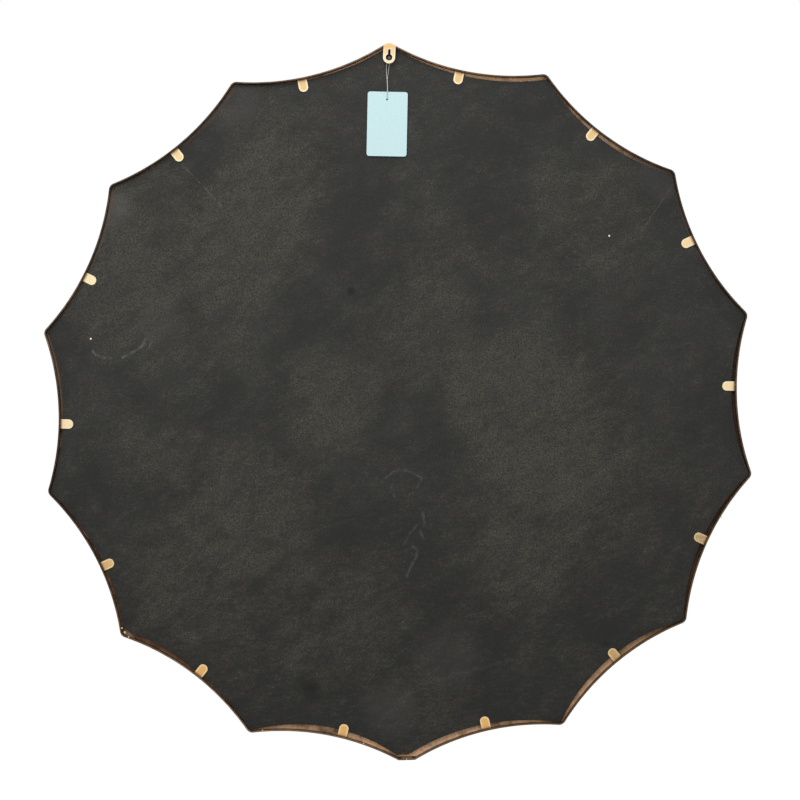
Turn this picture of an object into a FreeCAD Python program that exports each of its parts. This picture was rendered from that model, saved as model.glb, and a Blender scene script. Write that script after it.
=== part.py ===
import FreeCAD, Part
import math
import os
import re
import Sketcher
from FreeCAD import Placement, Rotation, Vector

# A scalloped sunburst wall mirror, seen mostly from its back: a brass band on edge, a brass
# face ring, one bevelled mirror sheet, a core board, a black back board held by fourteen
# brazed tabs, and a keyhole plate at the top point with a blank card tag on a thread.
# Millimetres, +Z up, the glass faces -Y and the wall is the plane Y = 0.
# The origin is the centre of the keyhole's round hole, on the wall plane.

# Outline of the band's outside: points on one circle, one hollow arc between each pair,
# whose middle is nearer to the centre by the valley's share.
scallops = 14
point_radius = 501.8
valley_share = 0.938
point_easing = 10
flat_point_width = 21.7

# Brass band, its lap plate at the flat point, and the face ring.
band_wall = 2
band_depth = 25
seam_width = 0.4
lap_width = 15
lap_thickness = 1.5
lap_margin = 1.5
ring_width = 8
ring_thickness = 2

# Mirror sheet.
glass_thickness = 5
glass_clearance = 1
bevel_width = 22
bevel_drop = 1.6
lip_clearance = 0.05

# Core board and back board.
core_clearance = 0.6
board_thickness = 3
board_recess = 6
board_gap = 7
board_point_gap = 0.8
nipped_point = 2.5

# Tabs, from strip bent over the back board.
tab_width = 13
tab_thickness = 1.2
tab_reach = 17.6
tab_leg = 10
tab_bend = 1.1
braze_film = 0.1
notch_clearance = 0.3
tab_end_share = 0.48

# Keyhole plate.
plate_thickness = 1.5
plate_width = 16.9
plate_length = 30
hole_below_point = 21.8
hole_radius = 4.5
slot_width = 3.4
slot_reach = 11.4
plate_skew_degrees = 4.5

# Tack behind the plate, the thread on it, and the card.
tack_shank_radius = 0.8
tack_head_radius = 2.6
tack_head_thickness = 1
tack_head_easing = 0.6
tack_stand = 1.4
tack_length = 10
tack_clearance = 0.05
strand_diameter = 0.7
twist_diameter = 1.3
card_width = 55.5
card_height = 89.5
card_thickness = 0.4
card_corner = 3.5
card_margin = 10.7
card_hole_side = 0.75
card_hole_radius = 1.4
card_stand = 1.6
card_hole_x = 4.2
card_hole_drop = 57.7
card_lean_degrees = 2.6

# One length by which every cut runs past what it cuts.
overrun = 5
# The share of its shorter run that an arc of a cord takes up.
run_share_for_arc = 0.45

# How far the back board stops short of the band at the middle of each scallop, as shares of
# board_gap, clockwise from the top point as the back is seen, and how the gap grows along it.
gap_shares = [0.65, 0.77, 0.47, 0.69, 0.8, 1.19, 1.05, 1.27, 0.58, 0.58, 0.55, 0.65, 0.68, 0.36]
gap_lean_shares = [0.36, 0.3, 0, 0, 0, 0.09, 0.57, 0, 0.57, -0.14, 0.27, 0.36, 0.43, 0.17]
# How far each tab sits from the middle of its scallop, as shares of half a scallop's chord.
tab_shift_shares = [
    -0.06, -0.09, -0.13, -0.11, -0.02, -0.05, -0.07,
    -0.14, -0.06, -0.13, -0.15, -0.165, -0.11, -0.16,
]

# What follows from those sizes.
half_pitch = math.pi / scallops
half_pitch_degrees = math.degrees(half_pitch)
half_chord = point_radius * math.sin(half_pitch)
valley_radius = point_radius * valley_share
rise = point_radius * math.cos(half_pitch) - valley_radius
scallop_radius = (rise**2 + half_chord**2) / (2 * rise)
scallop_distance = valley_radius + scallop_radius
scallop_across = scallop_distance * math.sin(half_pitch)
scallop_up = scallop_distance * math.cos(half_pitch)
point_half_angle = math.atan2(scallop_up - point_radius, scallop_across)
flat_radius = point_radius - flat_point_width / 2 / math.tan(point_half_angle)
centre_drop = point_radius - hole_below_point
lip_over_glass = ring_width - band_wall - glass_clearance
glass_rise = bevel_drop * (1 - lip_over_glass / bevel_width) - lip_clearance
core_thickness = band_depth + glass_rise - board_recess - board_thickness - glass_thickness
board_back = plate_thickness + board_recess
core_back = board_back + board_thickness
glass_back = core_back + core_thickness

doc = FreeCAD.newDocument("sunburst_wall_mirror")
sheet = doc.addObject("Spreadsheet::Sheet", "sizes")
named_sizes = {name: value for name, value in globals().items() if type(value) in (int, float)}
sheet_row = 0


def put(alias, value):
    """Writes one size into the sheet under its alias."""
    global sheet_row
    sheet_row += 1
    sheet.set(f"A{sheet_row}", alias)
    sheet.set(f"B{sheet_row}", str(value))
    sheet.setAlias(f"B{sheet_row}", alias)


for name, value in named_sizes.items():
    put(name, value)

# Each scallop of the back board is one round saw cut; these are the centres and radii.
for index, (gap_share, lean_share) in enumerate(zip(gap_shares, gap_lean_shares)):
    lean = lean_share * board_gap
    end_gap = band_wall + board_point_gap + abs(lean)
    end_radius = point_radius - end_gap / math.sin(point_half_angle)
    across = end_radius * math.sin(half_pitch)
    valley = valley_radius - band_wall - gap_share * board_gap
    height = end_radius * math.cos(half_pitch) - valley
    radius = (height**2 + across**2) / (2 * height)
    shift = lean * math.sqrt(radius**2 - across**2) / across
    turn = (2 * index + 1) * half_pitch
    distance = valley + radius
    put(f"saw_radius_{index}", radius)
    put(f"saw_across_{index}", -distance * math.sin(turn) - shift * math.cos(turn))
    put(f"saw_up_{index}", distance * math.cos(turn) - shift * math.sin(turn))


def plane_of(body, role):
    """The body's own origin plane or axis with that role."""
    return next(f for f in body.Origin.OriginFeatures if f.Role == role)


def sketch_in(body, name, role="XZ_Plane"):
    """An empty sketch on one of the body's own origin planes."""
    sketch = body.newObject("Sketcher::SketchObject", name)
    sketch.AttachmentSupport = [(plane_of(body, role), "")]
    sketch.MapMode = "FlatFace"
    return sketch


def on_sheet(text):
    """The expression with each alias written as a cell of the sheet."""
    return re.sub(r"[a-z]\w*", r"sizes.\g<0>", text)


def value_of(text):
    """What an expression on the sheet's aliases comes to."""
    return float(sheet.evalExpression(text))


def bind_place(sketch, geometry, vertex, across, up):
    """Ties a sketch point to the origin by two expressions on the sheet's aliases."""
    for kind, axis, text in (("DistanceX", -2, across), ("DistanceY", -1, up)):
        value = value_of(text)
        if value == 0:
            sketch.addConstraint(
                Sketcher.Constraint("PointOnObject", geometry, vertex, axis)
            )
            continue
        ends = (-1, 1, geometry, vertex) if value > 0 else (geometry, vertex, -1, 1)
        index = sketch.addConstraint(Sketcher.Constraint(kind, *ends, abs(value)))
        sign = "" if value > 0 else "-"
        sketch.setExpression(f"Constraints[{index}]", f"{sign}({on_sheet(text)})")


def add_circle(sketch, across, up, radius):
    """A circle whose centre and radius are expressions on the sheet's aliases."""
    centre = Vector(value_of(across), value_of(up), 0)
    circle = Part.Circle(centre, Vector(0, 0, 1), value_of(radius))
    geometry = sketch.addGeometry(circle)
    bind_place(sketch, geometry, 3, across, up)
    index = sketch.addConstraint(Sketcher.Constraint("Radius", geometry, circle.Radius))
    sketch.setExpression(f"Constraints[{index}]", on_sheet(radius))


def add_outline(sketch, corners):
    """A closed outline of straight sides; each corner is a pair of expressions."""
    spots = [Vector(value_of(across), value_of(up), 0) for across, up in corners]
    for spot, following in zip(spots, spots[1:] + spots[:1]):
        sketch.addGeometry(Part.LineSegment(spot, following))
    for index, (across, up) in enumerate(corners):
        before = (index - 1) % len(corners)
        sketch.addConstraint(Sketcher.Constraint("Coincident", before, 2, index, 1))
        bind_place(sketch, index, 1, across, up)


def pad(body, sketch, length, symmetric=False):
    """A pad of the sketch, away from the wall or to both sides alike."""
    feature = body.newObject("PartDesign::Pad", f"{sketch.Name}_pad")
    feature.Profile = sketch
    feature.setExpression("Length", on_sheet(length))
    if symmetric:
        feature.SideType = "Symmetric"
    doc.recompute()
    return feature


def pocket_through(body, sketch):
    """A pocket of the sketch through the whole body, which has to remove something."""
    before = body.Shape.Volume
    feature = body.newObject("PartDesign::Pocket", f"{sketch.Name}_pocket")
    feature.Profile = sketch
    feature.Type = "ThroughAll"
    feature.SideType = "Symmetric"
    doc.recompute()
    if not feature.Shape.Volume < before:
        raise ValueError(f"{feature.Name} removes nothing")
    return feature


def turned(body, kind, sketch):
    """A revolution or groove of the sketch about its own horizontal axis."""
    feature = body.newObject(f"PartDesign::{kind}", f"{sketch.Name}_turned")
    feature.Profile = sketch
    feature.ReferenceAxis = (sketch, ["H_Axis"])
    feature.Angle = 360
    doc.recompute()
    return feature


def repeat_round(body, feature):
    """The feature once per scallop, about the mirror's own axis."""
    pattern = body.newObject("PartDesign::PolarPattern", f"{feature.Name}_pattern")
    pattern.Originals = [feature]
    pattern.Axis = (plane_of(body, "Y_Axis"), [""])
    pattern.Angle = 360
    pattern.setExpression("Occurrences", "sizes.scallops")
    body.Tip = pattern
    doc.recompute()
    return pattern


def fillet(body, base, wanted, radius):
    """A fillet on the edges of base for which wanted(lowest, highest corner) holds."""
    names = []
    for index, edge in enumerate(base.Shape.Edges, 1):
        limits = edge.BoundBox
        low = Vector(limits.XMin, limits.YMin, limits.ZMin)
        high = Vector(limits.XMax, limits.YMax, limits.ZMax)
        if wanted(low, high):
            names.append(f"Edge{index}")
    feature = body.newObject("PartDesign::Fillet", f"{base.Name}_fillet")
    feature.Base = (base, names)
    feature.setExpression("Radius", on_sheet(radius))
    body.Tip = feature
    doc.recompute()
    return feature


def near(one, other):
    """Whether two places are the same but for rounding errors."""
    return math.isclose(one, other, rel_tol=0, abs_tol=seam_width / 100)


def body_at(label, back, drop="centre_drop"):
    """An empty body whose origin is that far in front of the wall and below the keyhole."""
    body = doc.addObject("PartDesign::Body", label)
    body.Label = label
    body.setExpression("Placement.Base.y", f"-({on_sheet(back)})")
    body.setExpression("Placement.Base.z", f"-({on_sheet(drop)})")
    return body


def disc(body, radius, thickness):
    """The round blank of a scalloped piece; it grows from the body's origin towards -Y."""
    sketch = sketch_in(body, f"{body.Name}_disc")
    add_circle(sketch, "0", "0", radius)
    return pad(body, sketch, thickness)


def flatten_bottom(body, inset):
    """Cuts the bottom point off square, that far inside the band's own flat."""
    sketch = sketch_in(body, f"{body.Name}_flat")
    high = f"-(flat_radius - ({inset}))"
    low = "-(point_radius + 2 * overrun)"
    left, right = "-flat_point_width * 2", "flat_point_width * 2"
    add_outline(sketch, [(left, high), (right, high), (right, low), (left, low)])
    return pocket_through(body, sketch)


def scalloped(label, back, thickness, inset, ease=None, nip="-overrun", flat=None):
    """A flat piece with the mirror's outline, moved inwards by inset all round.

    A disc loses one round bite per scallop. Its points are eased by a radius, or nipped
    off short of the sharp points by nip, and the bottom one is cut square."""
    body = body_at(label, back)
    disc(body, f"point_radius - ({nip})", thickness)
    bite = sketch_in(body, f"{label}_bite")
    add_circle(bite, "scallop_across", "scallop_up", f"scallop_radius + ({inset})")
    pattern = repeat_round(body, pocket_through(body, bite))
    if ease:
        reach = max(math.hypot(v.X, v.Z) for v in pattern.Shape.Vertexes)
        fillet(
            body,
            pattern,
            lambda low, high: near(low.x, high.x) and near(math.hypot(low.x, low.z), reach),
            ease,
        )
    flatten_bottom(body, flat or inset)
    return body


def combined(kind, label, base, tool):
    """A Part boolean of two objects, under a label of its own."""
    result = doc.addObject(f"Part::{kind}", label)
    result.Label = label
    result.Base = base
    result.Tool = tool
    doc.recompute()
    return result


def on_scallop(index, along, outward, back):
    """Where a piece sits on the band's inner wall: its +Z points out, square to the wall.

    The scallop is counted clockwise from the top point as the back is seen. The piece is
    turned about the scallop's own centre by along / outward, and outward is its distance
    from that centre."""
    axis = Vector(0, 1, 0)
    round_mirror = Rotation(axis, -(2 * index + 1) * half_pitch_degrees)
    round_scallop = Rotation(axis, math.degrees(along / outward))
    return (
        Placement(Vector(0, 0, -centre_drop), round_mirror)
        * Placement(Vector(0, 0, scallop_distance), round_scallop)
        * Placement(Vector(0, -back, -outward), Rotation())
    )


def brass_ring(label, back, depth, width, inner_ease=None):
    """A hollow frame of the mirror's outline: the whole outline less the same moved inwards."""
    outside = scalloped(f"{label}_outside", back, depth, "0", ease="point_easing")
    inside = scalloped(
        f"{label}_inside",
        f"{back} - overrun",
        f"{depth} + 2 * overrun",
        width,
        ease=inner_ease,
    )
    return combined("Cut", label, outside, inside)


def rim_band():
    """The brass strip on edge round the whole mirror; its ends meet at the flat point."""
    ring = brass_ring(
        "band_ring",
        "plate_thickness",
        "band_depth",
        "band_wall",
        inner_ease="point_easing - band_wall",
    )
    seam = doc.addObject("Part::Box", "band_seam")
    for side, length in (
        ("Length", "seam_width"),
        ("Width", "band_depth + 2 * overrun"),
        ("Height", "band_wall + 2 * overrun"),
    ):
        seam.setExpression(side, on_sheet(length))
    seam.Placement.Base = Vector(
        -seam_width / 2,
        -plate_thickness - band_depth - overrun,
        -centre_drop - flat_radius - overrun,
    )
    return combined("Cut", "rim_band", ring, seam)


def face_ring():
    """The flat brass ring brazed to the band's front edge; it holds the mirror sheet in."""
    return brass_ring("face_ring", "plate_thickness + band_depth", "ring_thickness", "ring_width")


def band_lap():
    """The small plate inside the flat point that bridges the ends of the strip."""
    body = body_at("band_lap", "plate_thickness + lap_margin")
    sketch = sketch_in(body, "band_lap_face")
    low = "-(flat_radius - band_wall)"
    high = "-(flat_radius - band_wall - lap_thickness)"
    left, right = "-lap_width / 2", "lap_width / 2"
    add_outline(sketch, [(left, low), (right, low), (right, high), (left, high)])
    pad(body, sketch, "band_depth - 2 * lap_margin")
    return body


def mirror_glass():
    """One mirror sheet whose bevel follows each scallop, with a mitre at each point.

    The bite that cuts a scallop is turned about the scallop's own axis, so that the ground
    bevel round it is part of a cone."""
    body = body_at("mirror_glass", "glass_back")
    disc(body, "point_radius - band_wall - nipped_point", "glass_thickness")
    bite = sketch_in(body, "mirror_glass_bite", "YZ_Plane")
    bite.AttachmentOffset = Placement(
        Vector(0, scallop_up, scallop_across), Rotation(Vector(1, 0, 0), half_pitch_degrees)
    )
    edge = "-(scallop_radius + band_wall + glass_clearance)"
    add_outline(
        bite,
        [
            ("overrun", "0"),
            ("overrun", edge),
            ("-(glass_thickness - bevel_drop)", edge),
            ("-glass_thickness", f"{edge} - bevel_width"),
            ("-(glass_thickness + overrun)", f"{edge} - bevel_width"),
            ("-(glass_thickness + overrun)", "0"),
        ],
    )
    before = body.Shape.Volume
    groove = turned(body, "Groove", bite)
    if not groove.Shape.Volume < before:
        raise ValueError("the mirror's bevel removes nothing")
    repeat_round(body, groove)
    flat = sketch_in(body, "mirror_glass_flat", "YZ_Plane")
    edge = "-(flat_radius - band_wall - lap_thickness - glass_clearance)"
    low = "-(point_radius + overrun)"
    add_outline(
        flat,
        [
            ("overrun", low),
            ("overrun", edge),
            ("-(glass_thickness - bevel_drop)", edge),
            ("-glass_thickness", f"{edge} + bevel_width"),
            ("-(glass_thickness + overrun)", f"{edge} + bevel_width"),
            ("-(glass_thickness + overrun)", low),
        ],
    )
    pocket_through(body, flat)
    return body


def tab_places():
    """Where each tab stands on the band's inner wall, level with the back board's back."""
    return [
        on_scallop(index, share * half_chord, scallop_radius + band_wall, board_back)
        for index, share in enumerate(tab_shift_shares)
    ]


def core_board():
    """The board between mirror and back board, notched where the tabs' legs go down."""
    inset = "band_wall + core_clearance"
    blank = scalloped(
        "core_blank",
        "core_back",
        "core_thickness",
        inset,
        nip="band_wall + nipped_point",
        flat=f"{inset} + lap_thickness",
    )
    cutters = []
    notch_depth = braze_film + tab_thickness + notch_clearance
    for index, place in enumerate(tab_places(), 1):
        notch = doc.addObject("Part::Box", f"core_notch_{index:02d}")
        notch.setExpression("Length", on_sheet("tab_width + 2 * notch_clearance"))
        notch.setExpression("Width", on_sheet("tab_leg + notch_clearance + overrun"))
        notch.setExpression(
            "Height", on_sheet("braze_film + tab_thickness + notch_clearance + overrun")
        )
        corner = Vector(
            -tab_width / 2 - notch_clearance, -tab_leg - notch_clearance, -notch_depth
        )
        notch.Placement = place * Placement(corner, Rotation())
        cutters.append(notch)
    bore = doc.addObject("Part::Cylinder", "core_tack_bore")
    bore.setExpression("Radius", on_sheet("tack_shank_radius + tack_clearance"))
    bore.setExpression("Height", on_sheet("tack_length + tack_clearance"))
    bore.Placement = Placement(Vector(0, -board_back, 0), Rotation(Vector(1, 0, 0), 90))
    cutters.append(bore)
    tool = doc.addObject("Part::MultiFuse", "core_cutters")
    tool.Shapes = cutters
    return combined("Cut", "core_board", blank, tool)


def back_board():
    """The thin black board, sawn by hand: each scallop has its own gap to the band."""
    body = body_at("back_board", "board_back")
    disc(body, "point_radius - band_wall - nipped_point", "board_thickness")
    for index in range(scallops):
        sketch = sketch_in(body, f"saw_{index}")
        add_circle(sketch, f"saw_across_{index}", f"saw_up_{index}", f"saw_radius_{index}")
        pocket_through(body, sketch)
    flatten_bottom(body, "band_wall + lap_thickness + board_gap / 2")
    bore = sketch_in(body, "back_board_tack_bore")
    add_circle(bore, "0", "centre_drop", "tack_shank_radius + tack_clearance")
    pocket_through(body, bore)
    return body


def tab(index, place):
    """A brass tab: its leg is brazed to the band and its round end is bent over the board."""
    label = f"tab_{index:02d}"
    body = doc.addObject("PartDesign::Body", label)
    body.Label = label
    side = sketch_in(body, f"{label}_side", "YZ_Plane")
    leg_face = "-(braze_film + tab_thickness)"
    add_outline(
        side,
        [
            ("tab_thickness", "-tab_reach"),
            ("tab_thickness", "-braze_film"),
            ("-tab_leg", "-braze_film"),
            ("-tab_leg", leg_face),
            ("0", leg_face),
            ("0", "-tab_reach"),
        ],
    )
    strip = pad(body, side, "tab_width", symmetric=True)
    bent = fillet(
        body,
        strip,
        lambda low, high: near(low.y, tab_thickness) and near(low.z, -braze_film),
        "tab_bend",
    )
    fillet(
        body,
        bent,
        lambda low, high: near(low.z, -tab_reach) and near(high.z, low.z) and near(low.x, high.x),
        f"tab_width * {tab_end_share}",
    )
    body.Placement = place
    return body


def keyhole_plate():
    """The hanging plate brazed over the top point, with its keyhole and a half-round end."""
    blank = body_at("plate_blank", "0", "0")
    end = sketch_in(blank, "plate_end")
    add_circle(end, "0", "0", "plate_width / 2")
    pad(blank, end, "plate_thickness")
    straight = sketch_in(blank, "plate_straight")
    left, right = "-plate_width / 2", "plate_width / 2"
    add_outline(
        straight, [(left, "0"), (right, "0"), (right, "plate_length"), (left, "plate_length")]
    )
    pad(blank, straight, "plate_thickness")
    hole = sketch_in(blank, "plate_hole")
    add_circle(hole, "0", "0", "hole_radius")
    pocket_through(blank, hole)
    slot = sketch_in(blank, "plate_slot")
    left, right, top = "-slot_width / 2", "slot_width / 2", "slot_reach - slot_width / 2"
    add_outline(slot, [(left, "0"), (right, "0"), (right, top), (left, top)])
    pocket_through(blank, slot)
    slot_end = sketch_in(blank, "plate_slot_end")
    add_circle(slot_end, "0", top, "slot_width / 2")
    pocket_through(blank, slot_end)
    blank.Placement.Rotation = Rotation(Vector(0, 1, 0), -plate_skew_degrees)
    trim = scalloped("plate_trim", "0", "plate_thickness", "0", ease="point_easing")
    return combined("Common", "keyhole_plate", blank, trim)


def thread_tack():
    """The round-headed tack behind the keyhole plate that the tag's thread is looped on."""
    body = body_at("thread_tack", "board_back", "0")
    half = sketch_in(body, "thread_tack_half", "YZ_Plane")
    top = "tack_stand + tack_head_thickness"
    add_outline(
        half,
        [
            ("-tack_length", "0"),
            ("-(tack_length - 2 * tack_shank_radius)", "tack_shank_radius"),
            ("tack_stand", "tack_shank_radius"),
            ("tack_stand", "tack_head_radius"),
            (f"{top} - tack_head_easing", "tack_head_radius"),
            (top, "tack_head_radius - tack_head_easing"),
            (top, "0"),
        ],
    )
    turned(body, "Revolution", half)
    return body


def hang_tag():
    """The blank card tag, hung by its hole and leaning as it hangs in the photograph."""
    body = body_at("hang_tag", "board_back - card_stand - card_thickness", "card_hole_drop")
    face = sketch_in(body, "hang_tag_face")
    left = "-(card_width / 2 + card_hole_side)"
    right = "card_width / 2 - card_hole_side"
    low = "-(card_height - card_margin)"
    add_outline(
        face, [(left, low), (right, low), (right, "card_margin"), (left, "card_margin")]
    )
    card = pad(body, face, "card_thickness")
    fillet(
        body,
        card,
        lambda low, high: near(low.x, high.x) and near(low.z, high.z),
        "card_corner",
    )
    hole = sketch_in(body, "hang_tag_hole")
    add_circle(hole, "0", "0", "card_hole_radius")
    pocket_through(body, hole)
    body.Placement.Base.x = card_hole_x
    body.Placement.Rotation = Rotation(Vector(0, 1, 0), -card_lean_degrees)
    return body


def cord(label, points, diameter):
    """A round cord along straight runs joined by tangent arcs, one at each inner point."""
    points = [Vector(*point) for point in points]
    edges = []
    radii = []
    start = points[0]
    for before, corner, after in zip(points, points[1:], points[2:]):
        inward, outward = before - corner, after - corner
        half_turn = (math.pi - inward.getAngle(outward)) / 2
        reach = run_share_for_arc * min(inward.Length, outward.Length)
        radii.append(reach / math.tan(half_turn))
        inward.normalize()
        outward.normalize()
        enter, leave = corner + inward * reach, corner + outward * reach
        middle_way = (inward + outward).normalize()
        to_centre = radii[-1] / math.cos(half_turn)
        middle = corner + middle_way * (to_centre - radii[-1])
        edges.append(Part.LineSegment(start, enter).toShape())
        edges.append(Part.Arc(enter, middle, leave).toShape())
        start = leave
    edges.append(Part.LineSegment(start, points[-1]).toShape())
    path = Part.Wire(edges)
    section = Part.Wire(
        Part.makeCircle(diameter / 2, points[0], points[1] - points[0])
    )
    tube = doc.addObject("Part::Feature", label)
    tube.Label = label
    tube.Shape = path.makePipeShell([section], True, True)
    whole = math.pi * diameter**2 / 4 * path.Length
    print(
        f"{label}: length {path.Length:.1f}, radii",
        " ".join(f"{radius:.1f}" for radius in radii),
        f"volume share {tube.Shape.Volume / whole:.4f}",
    )
    return tube


# The loop goes up from the knot, round the tack and down again.
loop_points = [
    (3.75, -6.6, -27.3), (4.55, -6.65, -17.0), (3.35, -6.8, -6.9), (1.4, -6.8, -1.9),
    (1.3, -6.8, 1.35), (-1.3, -6.8, 1.35), (-1.5, -6.8, -2.2), (-0.25, -6.8, -9.0),
    (1.35, -6.7, -18.1), (2.85, -6.6, -27.2),
]
# Below the knot the two strands are twisted together, down over the card and into its hole.
twist_points = [
    (3.4, -6.5, -28.2), (2.95, -4.85, -41.0), (3.75, -4.4, -51.8), (4.2, -4.5, -57.4),
    (4.2, -7.1, -57.7),
]

doc.recompute()
pieces = [rim_band(), band_lap(), face_ring(), mirror_glass(), core_board(), back_board()]
pieces += [tab(index, place) for index, place in enumerate(tab_places(), 1)]
pieces += [
    keyhole_plate(),
    thread_tack(),
    cord("thread_loop", loop_points, strand_diameter),
    cord("tag_thread", twist_points, twist_diameter),
    hang_tag(),
]
doc.recompute()

for item in doc.Objects:
    if "Invalid" in item.State or "Error" in item.State:
        raise ValueError(f"{item.Label} has failed: {item.State}")
for piece in pieces:
    if piece.Shape.isNull() or not piece.Shape.isValid():
        raise ValueError(f"{piece.Label} has no valid shape")

os.makedirs("parts", exist_ok=True)
for piece in pieces:
    piece.Shape.exportStep(f"parts/{piece.Label}.step")
    limits = piece.Shape.BoundBox
    print(
        piece.Label, len(piece.Shape.Solids), f"{piece.Shape.Volume:.1f}",
        f"X {limits.XMin:.2f} {limits.XMax:.2f}",
        f"Y {limits.YMin:.2f} {limits.YMax:.2f}",
        f"Z {limits.ZMin:.2f} {limits.ZMax:.2f}",
    )
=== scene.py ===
import bmesh
import bpy
import numpy as np
from mathutils import Matrix, Vector


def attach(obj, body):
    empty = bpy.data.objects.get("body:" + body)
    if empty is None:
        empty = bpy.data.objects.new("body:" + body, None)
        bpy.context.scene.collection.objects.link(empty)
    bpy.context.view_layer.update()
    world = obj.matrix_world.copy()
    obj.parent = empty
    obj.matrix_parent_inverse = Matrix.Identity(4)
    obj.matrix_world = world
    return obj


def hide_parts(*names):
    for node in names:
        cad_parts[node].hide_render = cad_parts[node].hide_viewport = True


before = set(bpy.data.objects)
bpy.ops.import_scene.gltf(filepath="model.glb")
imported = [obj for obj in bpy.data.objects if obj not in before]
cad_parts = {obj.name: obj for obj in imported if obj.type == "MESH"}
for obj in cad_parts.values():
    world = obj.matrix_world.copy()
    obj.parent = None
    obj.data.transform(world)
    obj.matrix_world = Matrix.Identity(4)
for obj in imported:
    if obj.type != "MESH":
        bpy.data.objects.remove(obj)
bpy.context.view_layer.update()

# The camera looks square at the back from across a room, and the mirror hangs a little askew
# in the picture, its top leaning to the left.
LEAN = np.radians(1.44)
MILLIMETRES_PER_PIXEL = 1.3865
PICTURE_PIXELS = 800
MIRROR_CENTRE_PIXEL = (397.75, 403.4)
VIEW_DISTANCE = 3.6
SENSOR_MILLIMETRES = 36
CENTRE_DROP = 0.48

picture_right = Vector((-np.cos(LEAN), 0, -np.sin(LEAN)))
picture_up = Vector((-np.sin(LEAN), 0, np.cos(LEAN)))
pixel = MILLIMETRES_PER_PIXEL / 1000
aim = Vector((0, 0, -CENTRE_DROP))
aim += picture_right * (PICTURE_PIXELS / 2 - MIRROR_CENTRE_PIXEL[0]) * pixel
aim += picture_up * (MIRROR_CENTRE_PIXEL[1] - PICTURE_PIXELS / 2) * pixel
camera = bpy.data.objects.new("camera", bpy.data.cameras.new("camera"))
camera.data.sensor_width = SENSOR_MILLIMETRES
camera.data.lens = SENSOR_MILLIMETRES * VIEW_DISTANCE / (PICTURE_PIXELS * pixel)
axes = Matrix((picture_right, picture_up, Vector((0, 1, 0)))).transposed()
camera.matrix_world = Matrix.Translation(aim + Vector((0, VIEW_DISTANCE, 0))) @ axes.to_4x4()
bpy.context.scene.collection.objects.link(camera)
bpy.context.scene.camera = camera


# The tag: a blank pale blue-green card with round corners, shown as its CAD solid. It hangs by
# a punched hole on the end of the thread, a few millimetres clear of the board.
class Finish:
    """A material or world being built: node() is the one way in which nodes are added."""

    def __init__(self, name, kind="materials", shader="Principled BSDF"):
        self.owner = getattr(bpy.data, kind).new(name)
        self.owner.use_nodes = True
        self.tree = self.owner.node_tree
        self.surface = self.tree.nodes[shader]

    def fill(self, socket, value):
        """Links a socket to a value made here, or sets it to a plain one."""
        if isinstance(value, (Value, Link)):
            self.tree.links.new(value.socket, socket)
        else:
            socket.default_value = value

    def node(self, kind, sockets, out=0, **settings):
        """A node of that kind: its settings first, then the values or links of its sockets."""
        node = self.tree.nodes.new(kind)
        for name, setting in settings.items():
            setattr(node, name, setting)
        for name, value in sockets.items():
            self.fill(node.inputs[name], value)
        return node.outputs[out]

    def place(self):
        """The point in the mirror's own frame, in metres."""
        return Link(self.node("ShaderNodeTexCoord", {}, out="Object"))

    def moved(self, vector, offset=(0, 0, 0), turn=(0, 0, 0), stretch=(1, 1, 1)):
        """The point shifted, turned and stretched, for patterns with a grain."""
        sockets = {"Vector": vector, "Location": offset, "Rotation": turn, "Scale": stretch}
        return Link(self.node("ShaderNodeMapping", sockets))

    def axis(self, vector, name):
        """One coordinate of a vector as a value."""
        return Value(self, self.node("ShaderNodeSeparateXYZ", {"Vector": vector}, out=name))

    def noise(self, vector, size, detail=2.0, rough=0.5, warp=0.0):
        """Soft noise from 0 to 1 whose lumps are about size metres across."""
        sockets = {
            "Vector": vector,
            "Scale": 1 / size,
            "Detail": detail,
            "Roughness": rough,
            "Distortion": warp,
        }
        return Value(self, self.node("ShaderNodeTexNoise", sockets))

    def mix(self, share, first, second):
        """The first colour where share is 0 and the second where it is 1."""
        sockets = {0: share, 6: first, 7: second}
        return Link(self.node("ShaderNodeMix", sockets, out=2, data_type="RGBA"))

    def bump(self, height, depth, strength):
        """A Bump node for the shader's normal, depth metres high where height is 1."""
        sockets = {"Height": height, "Distance": depth, "Strength": strength}
        return Link(self.node("ShaderNodeBump", sockets))

    def attribute(self, name):
        """The number that a mesh gives to each of its points under that name."""
        return Value(self, self.node("ShaderNodeAttribute", {}, out="Fac", attribute_name=name))

    def paint(self, colour, roughness, metallic=0.0, normal=None, **constants):
        """Puts the finish on the shader and gives the material back."""
        sockets = {"Base Color": colour, "Roughness": roughness, "Metallic": metallic}
        if normal is not None:
            sockets["Normal"] = normal
        for name, value in {**sockets, **constants}.items():
            self.fill(self.surface.inputs[name.replace("_", " ")], value)
        return self.owner


class Link:
    """A colour or vector socket, passed on as it is."""

    def __init__(self, socket):
        self.socket = socket


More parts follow.
